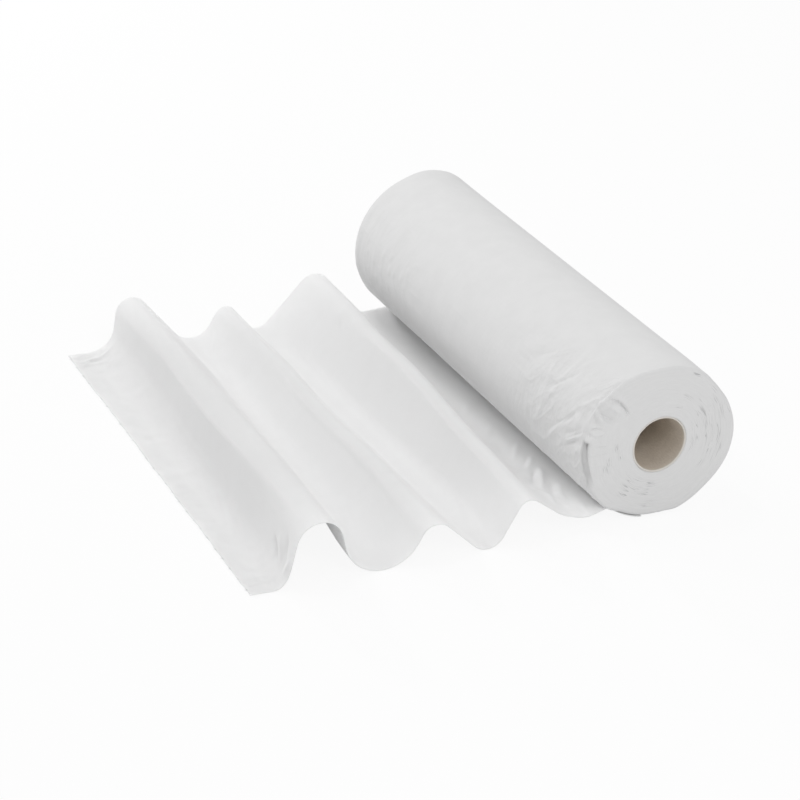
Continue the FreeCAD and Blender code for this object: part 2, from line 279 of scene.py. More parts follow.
def relaxed(points, along, softness):
    """The section at even steps, with the jumps in its curvature smoothed out."""
    steps = np.arange(0, along[-1], 0.5)
    even = np.stack([np.interp(steps, along, points[:, k]) for k in (0, 1)], 1)
    reach = int(6 * softness)
    window = np.exp(-0.5 * (np.arange(-reach, reach + 1) * 0.5 / softness) ** 2)
    window /= window.sum()
    smooth = np.stack([np.convolve(np.pad(even[:, k], reach, "edge"), window, "valid") for k in (0, 1)], 1)
    free = ease(steps, 70, 95)[:, None] * ease(steps, along[-1] - 2, along[-1] - 12)[:, None]
    return steps, even * (1 - free) + smooth * free


# %% [markdown]
# ## Laying the sheet between its two edges
# Each bend at the near edge runs across to the same bend at the far edge, by way of the one
# halfway. The folds also wander a millimetre or two on the way, and the paper has cockled.

# %% Sheet grid
ALONG, ACROSS = 236, 200


def spread(count, low, high, busy):
    """Places from low to high that crowd together where busy(place) is large."""
    fine = np.linspace(low, high, 2000)
    total = np.concatenate([[0], np.cumsum(busy(fine[:-1]))])
    return np.interp(np.linspace(0, total[-1], count), total, fine)


across = spread(ACROSS, NEAR, FAR, lambda y: 1 + 1.2 * ease(np.abs(y), 120, 190))
share_across = ((across - NEAR) / ROLL_LENGTH)[:, None]
edges = {edge: section(edge) for edge in BENDS}
shared_marks = (edges["near"][2] + edges["far"][2]) / 2
sheet_length = shared_marks[-1]
distance = np.linspace(0, sheet_length, ALONG)

rows = {}
for edge, (points, along, marks) in edges.items():
    steps, smooth = relaxed(points, along, 1.8)
    here = np.interp(distance, shared_marks, marks)
    rows[edge] = np.stack([np.interp(here, steps, smooth[:, k]) for k in (0, 1)], 1)

inland = ease(np.abs(across), 188, 110)[:, None]
bow = rows["middle"] - (rows["near"] + rows["far"]) / 2
section_x, section_z = (
    rows["near"][:, k] * (1 - share_across) + rows["far"][:, k] * share_across + inland * bow[:, k]
    for k in (0, 1)
)
s, y = np.meshgrid(distance, across)
inner = np.clip(4 * share_across * (1 - share_across), 0, 1)
lifted = ease(section_z, 1, 12)
free_of_roll = ease(s, 60, 90)
section_x = section_x + inner * free_of_roll * lifted * 1.6 * smooth_noise(y / 95, s / 60, 11)
section_z = section_z * (1 + inner * free_of_roll * 0.05 * smooth_noise(y / 110, s / 80, 12))
print(f"sheet {sheet_length:.0f} along its folds; edges {[round(e[1][-1]) for e in edges.values()]}")

# %% [markdown]
# ## Cockles, crumples and creases in the sheet
# Relief is added square to the surface. The torn end is the most handled, so it has the most
# cockling. The sharp creases are where fingers pinched the paper: at the far corner of the
# torn end, at the near foot of the first fold and beside the roll.

# %% Sheet relief
def grid_normals(points):
    """Unit normals of a grid of points, rows by columns."""
    down, over = np.gradient(points, axis=0), np.gradient(points, axis=1)
    normal = np.cross(down, over)
    return normal / np.linalg.norm(normal, axis=-1, keepdims=True)


end = sheet_length
tail_side = ease(s, end - 60, end - 12)
near_side = ease(y, NEAR + 60, NEAR + 5)
far_side = ease(y, FAR - 60, FAR - 5)
relief = free_of_roll * 0.12 * cockle(s, y, 26, 21) + 1.3 * tail_side * (0.5 + 0.5 * cockle(s, y, 27, 21, 2))
relief += free_of_roll * 0.28 * cockle(s, y, 70, 24, 2)
relief += 0.35 * tail_side * crumple(s, y, 13, 37)
relief += 0.6 * tail_side * far_side * (crumple(s, y, 14, 27) + 0.2)
relief += 0.40 * near_side * ease(s, end - 75, end - 45) * crumple(s * 0.6, y, 11, 29)
relief += 0.5 * far_side * ease(s, 112, 128) * ease(s, 160, 140) * crumple(s, y * 0.7, 13, 31)
relief += 0.9 * ease(s, 32, 40) * ease(s, 68, 54) * ease(y, -30, -90) * crumple(s, y * 0.8, 15, 35)
SHEET_CREASES = (
    ("far corner", ((end - 36, 186), (end - 4, 179)), 1.2, 1.6),
    ("far corner", ((end - 22, 190), (end - 2, 170)), 0.9, 1.3),
    ("far corner", ((end - 30, 176), (end - 12, 158)), 0.6, 1.6),
    ("foot of the first fold", ((end - 46, -158), (end - 36, -171)), -2.0, 2.0),
    ("foot of the first fold", ((end - 51, -166), (end - 39, -178)), 1.4, 1.6),
    ("foot of the first fold", ((end - 56, -177), (end - 40, -184)), -1.6, 2.6),
    ("foot of the first fold", ((end - 44, -190), (end - 34, -187)), 1.2, 1.8),
    ("ring in the tail", ((end - 12, -104), (end - 7, -117), (end - 10, -124), (end - 16, -129)), -0.9, 1.8),
    ("ring in the tail", ((end - 12, -110), (end - 17, -114)), 0.7, 1.5),
    ("edge of the foot", ((end - 30, -58), (end - 23, -88), (end - 16, -114)), 0.6, 2.2),
    ("dent in the tail", ((end - 10, 160), (end - 12, 154)), -0.8, 4.5),
    ("dent in the tail", ((end - 13, 88), (end - 15, 82)), -0.5, 4.0),
    ("dent in the tail", ((end - 9, 44), (end - 10, 34)), -1.0, 4.0),
    ("dent in the tail", ((end - 11, 2), (end - 8, -8)), -0.6, 4.5),
    ("dent in the tail", ((end - 10, -66), (end - 10, -76)), -0.8, 4.5),
    ("dent in the tail", ((end - 11, -90), (end - 8, -96)), -0.9, 3.0),
    ("first valley", ((232, 190), (252, 158)), 0.8, 1.6),
    ("third crest", ((112, 126), (124, 113)), 1.0, 1.3),
    ("beside the roll", ((37, -108), (43, -124), (52, -143)), 2.0, 2.1),
    ("beside the roll", ((44, -110), (52, -128)), -1.4, 2.0),
    ("beside the roll", ((34, -66), (47, -86)), 1.2, 1.9),
    ("beside the roll", ((35, -84), (46, -100)), -1.0, 1.7),
    ("beside the roll", ((35, -92), (45, -106)), 1.1, 1.6),
    ("beside the roll", ((40, -132), (50, -156)), -1.3, 2.0),
    ("beside the roll", ((36, -138), (44, -160)), 1.3, 1.8),
    ("beside the roll", ((50, -150), (62, -176)), 0.9, 2.0),
    ("beside the roll", ((36, 12), (48, -6)), 0.6, 1.9),
    ("beside the roll", ((38, -30), (50, -48)), 0.7, 1.9),
)
for _, path, height, width in SHEET_CREASES:
    relief += crease(s, y, path, height, width)

# A sharp shoulder runs along each fold, a little past its crest on the side away from the roll.
# Each is given by its crest's number among the marks and its distance past that crest.
SHOULDERS = {8: 10, 6: 8, 4: 6.5}
for mark, past_crest in SHOULDERS.items():
    steps = np.linspace(105, NEAR + 15, 14)
    wander = 0.9 * np.sin(steps / 50 + mark)
    path = tuple(zip(shared_marks[mark] + past_crest + wander, steps))
    relief += crease(s, y, path, 1.7, 2.3)
# Where it leaves the roll, the sheet's near edge curls up a little.
relief += 2.4 * ease(s, 40, 20) * np.exp(-(((y - NEAR) / 9) ** 2))
print(f"crests at {[round(shared_marks[mark]) for mark in SHOULDERS]} along the sheet")


def rest_on_table(height, lowest, softness=0.22):
    """Heights that meet the table in a gentle curve instead of at a corner."""
    return lowest + softness * np.logaddexp(0, (height - lowest) / softness)


middle = np.stack([section_x, y, section_z], -1)
middle = middle + grid_normals(middle) * relief[..., None]
torn = ease(s, end - 6, end)
middle[..., 0] -= torn * 0.35 * smooth_noise(y / 3.1, s * 0 + 0.5, 33)
middle[..., 2] += torn * 0.7 * np.clip(smooth_noise(y / 7.5, s * 0 + 4.5, 34), 0, 1)
middle[..., 2] = np.where(s > 55, rest_on_table(middle[..., 2], WEB / 2), np.maximum(middle[..., 2], WEB / 2))
print(f"relief from {relief.min():.2f} to {relief.max():.2f}")

# %% [markdown]
# ## A sheet with two sides and a torn end
# The paper gets its thickness by moving one copy of the grid up and one down. The end was
# torn along a perforation, which leaves a little tuft of fibres at every tie.

# %% Loose sheet
def edge_loop(rows, columns):
    """Grid indices round the outside of a grid, in order."""
    grid = np.arange(rows * columns).reshape(rows, columns)
    return np.concatenate([grid[0, :-1], grid[:-1, -1], grid[-1, :0:-1], grid[:0:-1, 0]])


def torn_ties(torn_edge, normal, pitch, seed):
    """Points and faces of one flat tuft for each tie of the perforation."""
    chance = np.random.default_rng(seed)
    points, faces = [], []
    place = torn_edge[0, 1] + pitch / 2
    while place < torn_edge[-1, 1] - 2:
        at = np.array([np.interp(place, torn_edge[:, 1], torn_edge[:, k]) for k in range(3)])
        width, reach = chance.uniform(0.9, 1.7), chance.uniform(0.6, 1.5)
        lift = chance.uniform(-0.05, 0.5)
        tip = chance.uniform(-0.3, 0.3) * width
        outline = [(0.4, -width), (0.4, width), (-reach * 0.7, width * 0.55), (-reach, tip)]
        outline.append((-reach * 0.6, -width * 0.6))
        for side in (WEB / 2, -WEB / 2):
            for out, over in outline:
                rise = lift * max(-out, 0) / reach
                points.append(at + np.array([out, over / 2, rise + side * 0.8]))
        first = len(points) - 10
        faces.append([first + k for k in range(5)])
        faces.append([first + 9 - k for k in range(5)])
        for k in range(5):
            after = (k + 1) % 5
            faces.append([first + 5 + k, first + 5 + after, first + after, first + k])
        place += pitch * chance.uniform(0.85, 1.15)
    return np.array(points), faces


normals = grid_normals(middle)
upper = (middle + normals * WEB / 2).reshape(-1, 3)
lower = (middle - normals * WEB / 2).reshape(-1, 3)
lower[:, 2] = np.maximum(lower[:, 2], 0)
count = len(upper)
sheet_faces = grid_faces(ACROSS, ALONG, flip=True) + grid_faces(ACROSS, ALONG, first=count)
rim = edge_loop(ACROSS, ALONG)
for this, following in zip(rim, np.roll(rim, -1)):
    sheet_faces.append([int(this), int(following), int(following) + count, int(this) + count])
tie_points, tie_faces = torn_ties(middle[:, -1], normals[:, -1], 14.5, 41)
sheet_faces += [[k + 2 * count for k in face] for face in tie_faces]

loose_sheet = new_piece("loose_sheet", np.vstack([upper, lower, tie_points]), sheet_faces)
uv_along = np.concatenate([s.ravel(), s.ravel(), np.full(len(tie_points), sheet_length)])
set_uv(loose_sheet, uv_along, np.concatenate([y.ravel(), y.ravel(), tie_points[:, 1]]))
print(f"loose_sheet: {len(loose_sheet.data.polygons)} faces")

# %% [markdown]
# ## The wound turns
# The roll's skin is one grid wrapped round the axis. Its profile starts at the core on the
# near end, goes out across the cut edges, over the rim, along the side and back in at the
# far end. Points crowd together at the rims and in the crushed quarter, where the detail is.
# Angles are measured round from the bottom, so 90 is away from the sheet and 270 beside it.

# %% Roll grid
RIM = 2.6
ROUND = 338
FACE_RINGS, RIM_STEPS = 68, 8


def profile():
    """(radius, y) from the near end's bore, over the side, to the far end's bore."""
    inner, outer = CORE_RADIUS + 0.1, ROLL_RADIUS - RIM
    near_face = [(r, NEAR) for r in spread(FACE_RINGS, inner, outer, lambda r: 1 + 0.8 * ease(r, 40, 56))]
    quarter = np.radians(np.linspace(0, 90, RIM_STEPS)[1:])
    near_rim = [(outer + RIM * math.sin(a), NEAR + RIM * (1 - math.cos(a))) for a in quarter]
    wrinkled = lambda y: 1 + 9 * ease(y, -90, -118) + 4.3 * ease(y, 82, 110)
    side = [(ROLL_RADIUS, at) for at in spread(196, NEAR + RIM, FAR - RIM, wrinkled)[1:-1]]
    far_rim = [(r, -at) for r, at in near_rim[::-1]]
    far_face = [(r, FAR) for r in np.linspace(outer, inner, 12)]
    return np.array(near_face + near_rim + side + far_rim + far_face)


turn = spread(ROUND + 1, 0, 360, lambda a: 1 + 3.7 * ease(a, 190, 206) * ease(a, 306, 292))[:-1]
rest_radius, rest_y = profile().T
radius, angle = np.meshgrid(rest_radius, turn, indexing="ij")
place = np.meshgrid(rest_y, turn, indexing="ij")[0]
arc = np.radians(angle) * ROLL_RADIUS
from_near, from_far = place - NEAR, FAR - place
outer_share = ease(radius, 30, 58)
print(f"wound turns: {radius.shape[0]} rings of {radius.shape[1]} points")

# %% [markdown]
# ## Handling marks on the roll
# The outer turns are soft. The near rim has been knocked in on the sheet's side, which
# pushed a few millimetres of the outer turns back and left folds there. Both ends of the
# side are puckered. The cut edges of the turns do not line up, so the end face has rings.

# %% Outline of the roll
def sector(low, high, soft):
    """1 between two angles, falling to 0 over `soft` degrees outside them."""
    return ease(angle, low - soft, low) * ease(angle, high + soft, high)


profile_distance = np.concatenate([[0], np.cumsum(np.hypot(np.diff(rest_radius), np.diff(rest_y)))])
past_face = slice(FACE_RINGS, FACE_RINGS + 22)
near_corner = np.interp(NEAR + 1.2, rest_y[past_face], profile_distance[past_face])
from_rim = np.meshgrid(profile_distance - near_corner, turn, indexing="ij")[0]
outward = np.gradient(rest_y, profile_distance)[:, None], -np.gradient(rest_radius, profile_distance)[:, None]
on_side = ease(from_near, 0.2, 3) * ease(from_far, 0.2, 3)

swell = 3.1 * sector(76, 86, 36) * np.exp(-((from_near / 50) ** 2))
swell -= 1.2 * sector(128, 134, 14) * np.exp(-((from_near / 20) ** 2))
swell += 0.35 * sector(130, 190, 40) + 2.0 * sector(162, 176, 26) * np.exp(-((from_far / 24) ** 2))
swell -= 2.7 * (sector(0, 8, 14) + sector(334, 360, 16)) * np.exp(-((from_near / 9) ** 2))
swell += on_side * 0.12 * cockle(arc, place, 62, 61, 2)
swell = swell * ease(radius, 22, 58)

KNOCK = {
    186: 0, 200: 3, 209: 4.5, 218: 5.5, 226: 6, 236: 8,
    246: 7, 256: 4, 266: 3, 280: 1.5, 300: 0.5, 330: 0,
}
knocked = np.interp(angle, list(KNOCK), list(KNOCK.values()))
push = knocked * ease(radius, 42, 60) ** 1.4 * np.exp(-((from_near / 13) ** 2))

# The outermost turns gape a little where the knock ends, behind a lip.
gape = np.interp(angle, [260, 263, 267, 276, 287, 293, 297], [0, 4.8, 4.4, 3.8, 3.8, 2.0, 0])
gape_middle = np.interp(angle, [262, 276, 292], [0.6, 0.4, -0.5])
gape = gape * np.exp(-(np.abs((from_rim - gape_middle) / 3.5) ** 4))
print(f"outline moved by {swell.min():.1f} to {swell.max():.1f}, rim knocked in by {push.max():.1f}")

# %% [markdown]
# ## Wrinkles on the roll
# The blow to the rim left folds that fan out from it, over the side and across the cut
# edges. Each is drawn as a path of places: degrees round the roll, and millimetres from the
# near rim, counted negative on the end face. The far end has short ripples round the roll.

# %% Wrinkles
NEAR_CREASES = (
    ("lip of the knocked rim", ((235, -0.8), (229, -0.8), (222, -0.4)), 2.6, 1.6),
    ("behind the lip", ((242, 2.8), (228, 2.6), (218, 2.4), (210, 2)), -0.9, 1.3),
    ("fold in the pocket", ((226, -1.5), (224.3, -5.8), (222.8, -10), (222.9, -14), (225, -21)), -3.9, 1.4),
    ("swelling in the pocket", ((231, -3), (229.5, -8), (229.5, -14)), 2.4, 3.0),
    ("hollow of the pocket", ((237, -2), (239, -8), (237.5, -14)), -3.0, 2.1),
    ("ridge in the pocket", ((242.5, -6), (240.5, -12)), 1.3, 1.6),
    ("dent in the rim", ((240.5, -0.3), (244.6, -4), (248.3, -5.8)), -2.4, 1.9),
    ("dent in the rim", ((255.7, 0), (255.5, -5)), -2.0, 2.4),
    ("dent in the rim", ((262, 0.6), (267, -2.2)), -3.0, 2.2),
    ("nick", ((251.8, -2), (248.6, -8)), -1.6, 0.8),
    ("crease on the end face", ((260.8, -21.3), (268.6, -25.7), (283.4, -28.9)), -0.9, 0.9),
    ("crease on the end face", ((281.6, -14.6), (294, -17.5)), -0.9, 0.8),
    ("smear on the side", ((259.4, 35), (254.3, 31), (249.7, 26.8)), -1.1, 1.8),
    ("smear on the side", ((268.2, 26.8), (260.8, 16.2), (255.2, 5.6)), -1.1, 1.4),
    ("smear on the side", ((272.3, 27.7), (264.5, 13.8)), -1.0, 1.4),
    ("fan on the end face", ((256, -3), (250, -12)), 1.2, 1.4),
    ("fan on the end face", ((263, -4), (260, -16)), 1.0, 1.4),
    ("fan on the end face", ((271, -6), (267, -18)), 0.8, 1.4),
    ("fan on the end face", ((280, -6), (279, -15)), 0.6, 1.5),
    ("fan on the side", ((245, 22), (258, 36), (275, 55)), -1.0, 2.4),
    ("fan on the side", ((254, 26), (271, 46), (283, 57)), 0.5, 2.8),
    ("fan on the side", ((252, 9), (260, 20), (267, 32)), -0.9, 2.2),
    ("fan on the side", ((257, 8), (264, 18), (272, 31)), 0.9, 2.3),
    ("fan on the side", ((262, 11), (271, 25), (281, 38)), -0.9, 2.2),
    ("fan on the side", ((266, 7), (276, 15)), 1.0, 2.0),
    ("round the side", ((231, 74), (246, 69), (264, 70)), 0.8, 2.8),
    ("round the side", ((236, 54), (246, 59), (259, 65)), 0.9, 2.8),
    ("round the side", ((250, 66), (264, 68), (278, 77)), 0.7, 2.8),
    ("round the side", ((226, 46), (235, 54), (245, 63)), -0.9, 2.0),
    ("long fine crease", ((250, 114), (236, 96), (223, 80)), -0.6, 1.4),
    ("long fine crease", ((262, 100), (248, 92), (236, 84)), 0.6, 2.2),
)
wrinkles = 0
for _, path, height, width in NEAR_CREASES:
    path = [(math.radians(round_) * ROLL_RADIUS, back) for round_, back in path]
    wrinkles = wrinkles + crease(arc, from_rim, path, height, width)

FAR_RIPPLES = (
    ((262, 88), (275, 99)), ((255, 108), (269, 114)), ((266, 74), (276, 80)), ((258, 66), (267, 65)),
    ((266, 47), (273, 50)), ((250, 53), (259, 51)), ((259, 74), (267, 73)), ((256, 87), (264, 86)),
    ((250, 94), (257, 95)), ((269, 107), (277, 112)), ((242, 102), (247, 103)), ((235, 146), (242, 146)),
    ((241, 178), (252, 187)), ((249, 64), (256, 63)), ((270, 90), (279, 97)), ((272, 62), (281, 66)),
)
for first, last in FAR_RIPPLES:
    path = [(math.radians(round_) * ROLL_RADIUS, FAR - back) for round_, back in (first, last)]
    wrinkles = wrinkles + crease(arc, place, path, 0.62, 1.5)

chance = np.random.default_rng(90)
for _ in range(26):
    at, back = chance.uniform(246, 290), chance.uniform(12, 150)
    reach, tilt = chance.uniform(6, 15), chance.uniform(-0.6, 0.1)
    start = math.radians(at) * ROLL_RADIUS
    path = ((start, FAR - back), (start + reach, FAR - back + reach * tilt))
    wrinkles = wrinkles + crease(arc, place, path, chance.uniform(0.15, 0.45), chance.uniform(1.3, 2.2))

slant, slant_over = arc * 0.72 + place * 0.69, place * 0.72 - arc * 0.69
near_crumple = np.exp(-from_near / 70) * sector(228, 300, 26) * on_side
middle_crumple = sector(226, 300, 22) * ease(from_near, 30, 60) * ease(from_near, 150, 95)
far_crumple = np.exp(-from_far / 70) * sector(236, 300, 20) * on_side
wrinkles += 1.5 * near_crumple * crumple(slant * 0.5, slant_over, 14, 64)
wrinkles += 0.7 * middle_crumple * crumple(arc * 0.5, place, 13, 65)
wrinkles += 0.5 * far_crumple * crumple(arc * 0.45, place, 14, 67)
wrinkles += 0.12 * on_side * sector(215, 300, 20) * crumple(arc * 0.8, place, 14, 68)
wrinkles += (
    1.5 * sector(222, 290, 12) * ease(radius, 40, 54) * ease(from_near, 3, 0)
    * crumple(arc * 0.8, from_rim, 15, 51)
)
handled = near_crumple + 0.4 * middle_crumple + 0.4 * far_crumple + 0.05 * sector(215, 300, 25) * on_side
handled = np.clip(handled, 0, 1)
print(f"wrinkles from {wrinkles.min():.2f} to {wrinkles.max():.2f}")

# %% [markdown]
# ## Turns that have parted
# The cut edges of the turns lie tight together, except in a few short arcs where two turns
# have come apart. Each place is given as its middle (degrees round the roll), its radius and
# its length. It is kept on the mesh, where the material paints the fine gaps dark as painted shade.

# %% Parted turns
PARTED = [
    (150, 39, 6), (155, 30, 5), (154, 57, 5), (132, 56, 5), (110, 58, 9), (115, 40, 14), (85, 42, 20),
    (68, 41, 11), (102, 31, 12), (79, 28, 11), (111, 53, 8), (96, 37, 18), (90, 47, 14), (329, 30, 6),
    (347, 41, 5), (327, 41, 6), (352, 32, 5), (323, 45, 6), (355, 48, 6), (275, 32, 5), (279, 41, 5),
    (264, 36, 4), (286, 45, 4),
]
drawn = len(PARTED)
for _ in range(34):
    middle_angle = chance.choice([chance.uniform(60, 130), chance.uniform(315, 360), chance.uniform(60, 130)])
    PARTED.append((middle_angle, chance.uniform(27, 54), chance.uniform(4, 12)))
parted = np.zeros_like(radius)
for number, (middle_angle, at, length) in enumerate(PARTED):
    depth = chance.uniform(0.6, 1.0) if number < drawn else chance.uniform(0.3, 0.6)
    depth *= 0.65 if 60 < middle_angle < 160 else 1.0
    away = np.abs((angle - middle_angle + 180) % 360 - 180) * math.radians(1) * at
    zone = depth * np.exp(-(((radius - at) / 1.6) ** 2)) * ease(away, length, length / 3)
    parted = np.maximum(parted, zone * (from_near < 0.01))

flat_x, flat_z = radius * np.sin(np.radians(angle)), radius * np.cos(np.radians(angle))
end_relief = 0.10 * smooth_noise(radius / 1.7, arc / 45, 71) + 0.06 * smooth_noise(radius / 0.9, arc / 22, 73)
end_relief = end_relief * ease(radius, CORE_RADIUS, CORE_RADIUS + 3) + 0.6 * cockle(flat_x, flat_z, 34, 75, 2)
off_the_ends = ease(from_near, 1, 3) * ease(from_far, 1, 3)
end_relief = (end_relief - 0.12 * parted) * ease(radius, ROLL_RADIUS, ROLL_RADIUS - 4) * (1 - off_the_ends)

# %% [markdown]
# ## Making the wound turns
# Every ring of the grid is moved by what the cells above worked out, and the grid becomes one
# mesh. The loose sheet is the outermost turn, so the roll is one web thinner where it laps.

# %% Wound turns
wrap = ease((angle + 60) % 360, 60 - 42, 60 - 38) * ease((angle + 60) % 360, 60 + 6.5, 60 + 5)
lift = (wrinkles + end_relief) * ease(radius, CORE_RADIUS, CORE_RADIUS + 3)
radius = radius + swell + outward[0] * lift - 0.45 * gape - 0.45 * wrap * outer_share
place = place + push + outward[1] * lift + 0.45 * gape

around = np.radians(angle)
height = np.maximum(AXIS_HEIGHT - radius * np.cos(around), WEB + 0.15)
roll_points = np.stack([radius * np.sin(around), place, height], -1).reshape(-1, 3)
turn_faces = grid_faces(*radius.shape, round_columns=True, round_rows=True)
wound_turns = new_piece("wound_turns", roll_points, turn_faces)
set_uv(wound_turns, arc, np.meshgrid(profile_distance, turn, indexing="ij")[0], 2 * math.pi * ROLL_RADIUS)
# The gaping mark tells the materials where to paint shade in the gape.
for mark, amount in (("parted", parted), ("handled", handled), ("gaping", gape / gape.max())):
    shade = wound_turns.data.attributes.new(mark, "FLOAT", "POINT")
    shade.data.foreach_set("value", amount.ravel().astype(np.float32))
print(f"wound_turns: {len(wound_turns.data.polygons)} faces")

# %% [markdown]
# ## The cardboard core
# The core is a tube of narrow board strips wound in a spiral and glued. The cutter leaves
# its ends a little furry, and the strip's joint shows inside as a slanting line.

# %% Core
CORE_WALL = 1.5
STRIP_LEAD = 74


def core_points(turns, rings):
    inner, outer = CORE_RADIUS - CORE_WALL, CORE_RADIUS - 0.05
    low, high = NEAR + 0.1, FAR - 0.1
    lines = [(outer, low + 0.4), (outer - 0.3, low), (inner + 0.3, low), (inner, low + 0.4)]
    lines += [(inner, at) for at in np.linspace(low + 2, high - 2, rings)]
    lines += [(inner, high - 0.4), (inner + 0.3, high), (outer - 0.3, high), (outer, high - 0.4)]
    lines = np.array(lines)
    around = np.linspace(0, 2 * math.pi, turns, endpoint=False)
    ring, swing = np.meshgrid(np.arange(len(lines)), around, indexing="ij")
    radius, at = lines[ring, 0], lines[ring, 1]
    step = (swing / (2 * math.pi) - at / STRIP_LEAD) % 1
    inside = (ring > 2) & (ring < len(lines) - 3)
    radius = radius + inside * (0.14 * ease(step, 0.0, 0.012) * ease(step, 0.10, 0.03))
    radius = radius + inside * 0.10 * smooth_noise(swing * 3 / math.pi, at / 40, 81)
    fur = 0.16 * smooth_noise(swing * 11, ring, 83) * ((at < low + 0.5) | (at > high - 0.5))
    points = np.stack([radius * np.sin(swing), at + fur, AXIS_HEIGHT - radius * np.cos(swing)], -1)
    return points, swing * CORE_RADIUS, at


points, swing, at = core_points(144, 120)
tube_faces = grid_faces(*points.shape[:2], round_columns=True, round_rows=True)
core_tube = new_piece("core_tube", points.reshape(-1, 3), tube_faces)
set_uv(core_tube, swing, at, 2 * math.pi * CORE_RADIUS)
print(f"core_tube: {len(core_tube.data.polygons)} faces")

# %% [markdown]
# ## Tools for materials
# Every finish is worked out by a few nodes that are joined up in order. These tools each make
# one node or one short sum, so that the cells below read as a description of the finish.

# %% Node helpers
def new_group(name, inputs, outputs):
    group = bpy.data.node_groups.new(name, "ShaderNodeTree")
    for label, value in inputs.items():
        socket = group.interface.new_socket(label, in_out="INPUT", socket_type="NodeSocketFloat")
        socket.default_value = value
    for label, kind in outputs.items():
        group.interface.new_socket(label, in_out="OUTPUT", socket_type=kind)
    return group, group.nodes.new("NodeGroupInput"), group.nodes.new("NodeGroupOutput")


def feed(tree, socket, value):
    """Link a node's output to a socket, or write a plain value in it."""
    if isinstance(value, bpy.types.NodeSocket):
        tree.links.new(value, socket)
    else:
        socket.default_value = value


def math_node(tree, operation, *values, clamp=False):
    node = tree.nodes.new("ShaderNodeMath")
    node.operation = operation
    node.use_clamp = clamp
    for socket, value in zip(node.inputs, values):
        feed(tree, socket, value)
    return node.outputs[0]


def stretched(tree, vector, scale, turn=(0, 0, 0)):
    node = tree.nodes.new("ShaderNodeMapping")
    feed(tree, node.inputs["Vector"], vector)
    node.inputs["Scale"].default_value = scale
    node.inputs["Rotation"].default_value = turn
    return node.outputs[0]


def noise_node(tree, vector, scale, detail=3.0, roughness=0.5, distortion=0.0):
    node = tree.nodes.new("ShaderNodeTexNoise")
    feed(tree, node.inputs["Vector"], vector)
    settings = {"Scale": scale, "Detail": detail, "Roughness": roughness, "Distortion": distortion}
    for label, value in settings.items():
        feed(tree, node.inputs[label], value)
    return node.outputs[0]


def remap(tree, value, low, high, to_low=0.0, to_high=1.0):
    node = tree.nodes.new("ShaderNodeMapRange")
    for label, number in (("From Min", low), ("From Max", high), ("To Min", to_low), ("To Max", to_high)):
        node.inputs[label].default_value = number
    feed(tree, node.inputs["Value"], value)
    return node.outputs["Result"]


def blend(tree, first, share, second):
    """The first value by its share, and the second by what is left."""
    parts = math_node(tree, "MULTIPLY", first, share), math_node(tree, "MULTIPLY", second, 1 - share)
    return math_node(tree, "ADD", *parts)


def folded(tree, noise):
    """Noise folded at its middle value, which is 0 along thin winding lines."""
    return math_node(tree, "ABSOLUTE", math_node(tree, "SUBTRACT", noise, 0.5))


# %% [markdown]
# ## Paper grain as a node group
# Exam paper is creped: while wet it is scraped off a drying drum, which leaves fine uneven
# ridges across the web. Under that are the fibres themselves. The group reads the web's own
# UV map, so that the grain bends with the folds, and puts out a height and a tone.

# %% Paper grain
def make_grain():
    group, given, out = new_group(
        "paper_grain",
        {"Crepe per metre": 700.0, "Mottle per metre": 60.0},
        {"Height": "NodeSocketFloat", "Tone": "NodeSocketFloat"},
    )
    web = group.nodes.new("ShaderNodeUVMap")
    web.uv_map = "web"
    across_web = stretched(group, web.outputs[0], (1.0, 0.22, 1.0))
    ridges = noise_node(group, across_web, given.outputs[0], 3, 0.55, 0.4)
    along_fibres = stretched(group, web.outputs[0], (0.5, 1.0, 1.0), (0, 0, 0.5))
    fibres = noise_node(group, along_fibres, 2600.0, 2, 0.6)
    mottle = noise_node(group, web.outputs[0], given.outputs[1], 4, 0.55)
    feed(group, out.inputs["Height"], blend(group, ridges, 0.75, fibres))
    feed(group, out.inputs["Tone"], blend(group, mottle, 0.7, fibres))
    return group


paper_grain = make_grain()
print("group", paper_grain.name, [item.name for item in paper_grain.interface.items_tree])

# %% [markdown]
# ## Fine creases as a node group
# Where the roll was handled, the outermost turn is covered in creases finer than the mesh.
# Noise folded at its middle value makes thin ridges. They run mostly round the roll.

# %% Fine creases
def make_fine_creases():
    group, given, out = new_group("fine_creases", {"Handled": 0.0}, {"Height": "NodeSocketFloat"})
    web = group.nodes.new("ShaderNodeUVMap")
    web.uv_map = "web"
    total = None
    for scale, share, turn in ((120.0, 0.65, 0.35), (260.0, 0.35, -0.3)):
        slanting = stretched(group, web.outputs[0], (0.45, 1.0, 1.0), (0, 0, turn))
        noise = noise_node(group, slanting, scale, 1, 0.5, 0.3)
        ridge = remap(group, folded(group, noise), 0.14, 0.0, 0.0, share)
        total = ridge if total is None else math_node(group, "ADD", total, ridge)
    feed(group, out.inputs["Height"], math_node(group, "MULTIPLY", total, given.outputs["Handled"]))
    return group


fine_creases = make_fine_creases()
print("group", fine_creases.name)
